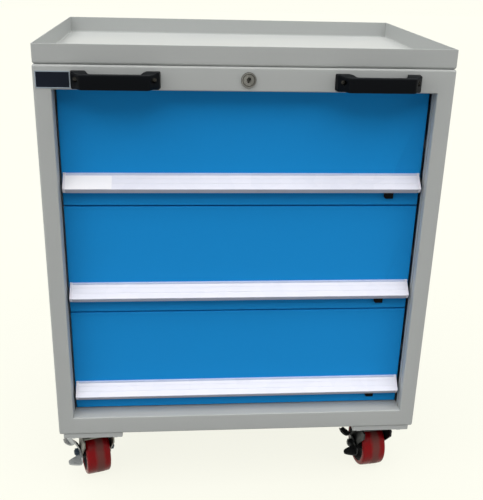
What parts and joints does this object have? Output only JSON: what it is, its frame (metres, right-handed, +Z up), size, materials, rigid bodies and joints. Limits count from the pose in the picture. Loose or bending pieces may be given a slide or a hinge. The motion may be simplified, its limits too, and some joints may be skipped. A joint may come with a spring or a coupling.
{
  "type": "tool cabinet",
  "caption": "Wheeled sheet-steel tool cabinet with deep drawers behind a recessed front, a raised tray top, a cam lock, pull handles and braked swivel casters.",
  "frame": {"origin": "on the floor, at the middle of the cabinet's box", "axes": "+Z up, +X to the right seen from the front, the drawers open towards -Y"},
  "size_m": [0.717, 0.522, 0.9005],
  "materials": {
    "grey_paint": "satin powder coat",
    "blue_paint": "satin powder coat",
    "handle_aluminium": "brushed anodised",
    "black_plastic": "moulded, fine grain",
    "white_plastic": "moulded",
    "white_label": "blank strip",
    "zinc_steel": "zinc plated",
    "lock_chrome": "plated",
    "red_tread": "moulded polyurethane",
    "wheel_iron": "painted casting"
  },
  "bodies": {
    "housing": {"left_side_panel": "grey_paint", "right_side_panel": "grey_paint", "back_panel": "grey_paint", "bottom_panel": "grey_paint", "top_deck": "grey_paint", "top_rail": "grey_paint", "bottom_rail": "grey_paint", "top_tray": "grey_paint", "slide_posts": "grey_paint", "name_plate": "black_plastic", "pull_handle_left": "black_plastic", "pull_handle_right": "black_plastic", "pull_handle_screws": "lock_chrome", "lock_barrel": "lock_chrome", "caster_pads": "grey_paint", "lock_bar_guides": "zinc_steel", "cabinet_slide_members": "zinc_steel", "front_caster_plates": "zinc_steel", "rear_caster_brackets": "zinc_steel", "rear_caster_axles": "zinc_steel", "caster_bolts": "zinc_steel"},
    "lock": {"lock_plug": "lock_chrome", "lock_cam": "lock_chrome"},
    "locking_bar": {"lock_bar": "zinc_steel"},
    "drawer_1": {"drawer_front_1": "blue_paint", "drawer_box_1": "grey_paint", "drawer_handle_1": "handle_aluminium", "handle_end_caps_1": "white_plastic", "drawer_slide_members_1": "zinc_steel", "label_strip_1": "white_label"},
    "middle_slides_1": {"middle_slide_members_1": "zinc_steel"},
    "latch_1": {"drawer_latch_1": "black_plastic"},
    "drawer_2": {"drawer_front_2": "blue_paint", "drawer_box_2": "grey_paint", "drawer_handle_2": "handle_aluminium", "handle_end_caps_2": "white_plastic", "drawer_slide_members_2": "zinc_steel"},
    "middle_slides_2": {"middle_slide_members_2": "zinc_steel"},
    "latch_2": {"drawer_latch_2": "black_plastic"},
    "drawer_3": {"drawer_front_3": "blue_paint", "drawer_box_3": "grey_paint", "drawer_handle_3": "handle_aluminium", "handle_end_caps_3": "white_plastic", "drawer_slide_members_3": "zinc_steel"},
    "middle_slides_3": {"middle_slide_members_3": "zinc_steel"},
    "latch_3": {"drawer_latch_3": "black_plastic"},
    "front_caster_left": {"front_fork_left": "zinc_steel", "front_axle_left": "zinc_steel"},
    "front_wheel_left": {"front_wheel_core_left": "wheel_iron", "front_wheel_tread_left": "red_tread"},
    "brake_left": {"brake_pedal_left": "zinc_steel"},
    "rear_wheel_left": {"rear_wheel_core_left": "wheel_iron", "rear_wheel_tread_left": "red_tread"},
    "front_caster_right": {"front_fork_right": "zinc_steel", "front_axle_right": "zinc_steel"},
    "front_wheel_right": {"front_wheel_core_right": "wheel_iron", "front_wheel_tread_right": "red_tread"},
    "brake_right": {"brake_pedal_right": "zinc_steel"},
    "rear_wheel_right": {"rear_wheel_core_right": "wheel_iron", "rear_wheel_tread_right": "red_tread"}
  },
  "joints": [
    {"name": "drawer_1_slide", "type": "slide", "parent": "housing", "child": "drawer_1", "axis": [0, -1, 0], "range_m": [0, 0.38]},
    {"name": "middle_slides_1_slide", "type": "slide", "parent": "housing", "child": "middle_slides_1", "axis": [0, -1, 0], "range_m": [0, 0.19]},
    {"name": "latch_1_lift", "type": "slide", "parent": "drawer_1", "child": "latch_1", "axis": [0, 0, 1], "range_m": [0, 0.005], "stiffness_N_per_m": 150, "springref_m": -0.002},
    {"name": "drawer_2_slide", "type": "slide", "parent": "housing", "child": "drawer_2", "axis": [0, -1, 0], "range_m": [0, 0.38]},
    {"name": "middle_slides_2_slide", "type": "slide", "parent": "housing", "child": "middle_slides_2", "axis": [0, -1, 0], "range_m": [0, 0.19]},
    {"name": "latch_2_lift", "type": "slide", "parent": "drawer_2", "child": "latch_2", "axis": [0, 0, 1], "range_m": [0, 0.005], "stiffness_N_per_m": 150, "springref_m": -0.002},
    {"name": "drawer_3_slide", "type": "slide", "parent": "housing", "child": "drawer_3", "axis": [0, -1, 0], "range_m": [0, 0.38]},
    {"name": "middle_slides_3_slide", "type": "slide", "parent": "housing", "child": "middle_slides_3", "axis": [0, -1, 0], "range_m": [0, 0.19]},
    {"name": "latch_3_lift", "type": "slide", "parent": "drawer_3", "child": "latch_3", "axis": [0, 0, 1], "range_m": [0, 0.005], "stiffness_N_per_m": 150, "springref_m": -0.002},
    {"name": "lock_turn", "type": "hinge", "parent": "housing", "child": "lock", "pos_m": [0, -0.223, 0.8455], "axis": [0, -1, 0], "range_deg": [0, 90]},
    {"name": "locking_bar_lift", "type": "slide", "parent": "housing", "child": "locking_bar", "axis": [0, 0, 1], "range_m": [0, 0.01414]},
    {"name": "front_caster_left_swivel", "type": "hinge", "parent": "housing", "child": "front_caster_left", "pos_m": [-0.2925, -0.169, 0.11], "axis": [0, 0, 1], "continuous": true},
    {"name": "front_wheel_left_spin", "type": "hinge", "parent": "front_caster_left", "child": "front_wheel_left", "pos_m": [-0.30039, -0.14318, 0.05], "axis": [0.9563, 0.2924, 0], "continuous": true},
    {"name": "brake_left_press", "type": "hinge", "parent": "front_caster_left", "child": "brake_left", "pos_m": [-0.30039, -0.14318, 0.05], "axis": [0.9563, 0.2924, 0], "range_deg": [0, 15]},
    {"name": "rear_wheel_left_spin", "type": "hinge", "parent": "housing", "child": "rear_wheel_left", "pos_m": [-0.2925, 0.207, 0.05], "axis": [1, 0, 0], "continuous": true},
    {"name": "front_caster_right_swivel", "type": "hinge", "parent": "housing", "child": "front_caster_right", "pos_m": [0.2925, -0.169, 0.11], "axis": [0, 0, 1], "continuous": true},
    {"name": "front_wheel_right_spin", "type": "hinge", "parent": "front_caster_right", "child": "front_wheel_right", "pos_m": [0.28874, -0.14226, 0.05], "axis": [0.9903, 0.1392, 0], "continuous": true},
    {"name": "brake_right_press", "type": "hinge", "parent": "front_caster_right", "child": "brake_right", "pos_m": [0.28874, -0.14226, 0.05], "axis": [0.9903, 0.1392, 0], "range_deg": [0, 15]},
    {"name": "rear_wheel_right_spin", "type": "hinge", "parent": "housing", "child": "rear_wheel_right", "pos_m": [0.2925, 0.207, 0.05], "axis": [1, 0, 0], "continuous": true}
  ],
  "couplings": [
    {"joint": "middle_slides_1_slide", "follows": "drawer_1_slide", "ratio": 0.5},
    {"joint": "middle_slides_2_slide", "follows": "drawer_2_slide", "ratio": 0.5},
    {"joint": "middle_slides_3_slide", "follows": "drawer_3_slide", "ratio": 0.5},
    {"joint": "lock_turn", "follows": "locking_bar_lift", "rad_per_m": 111.07}
  ]
}
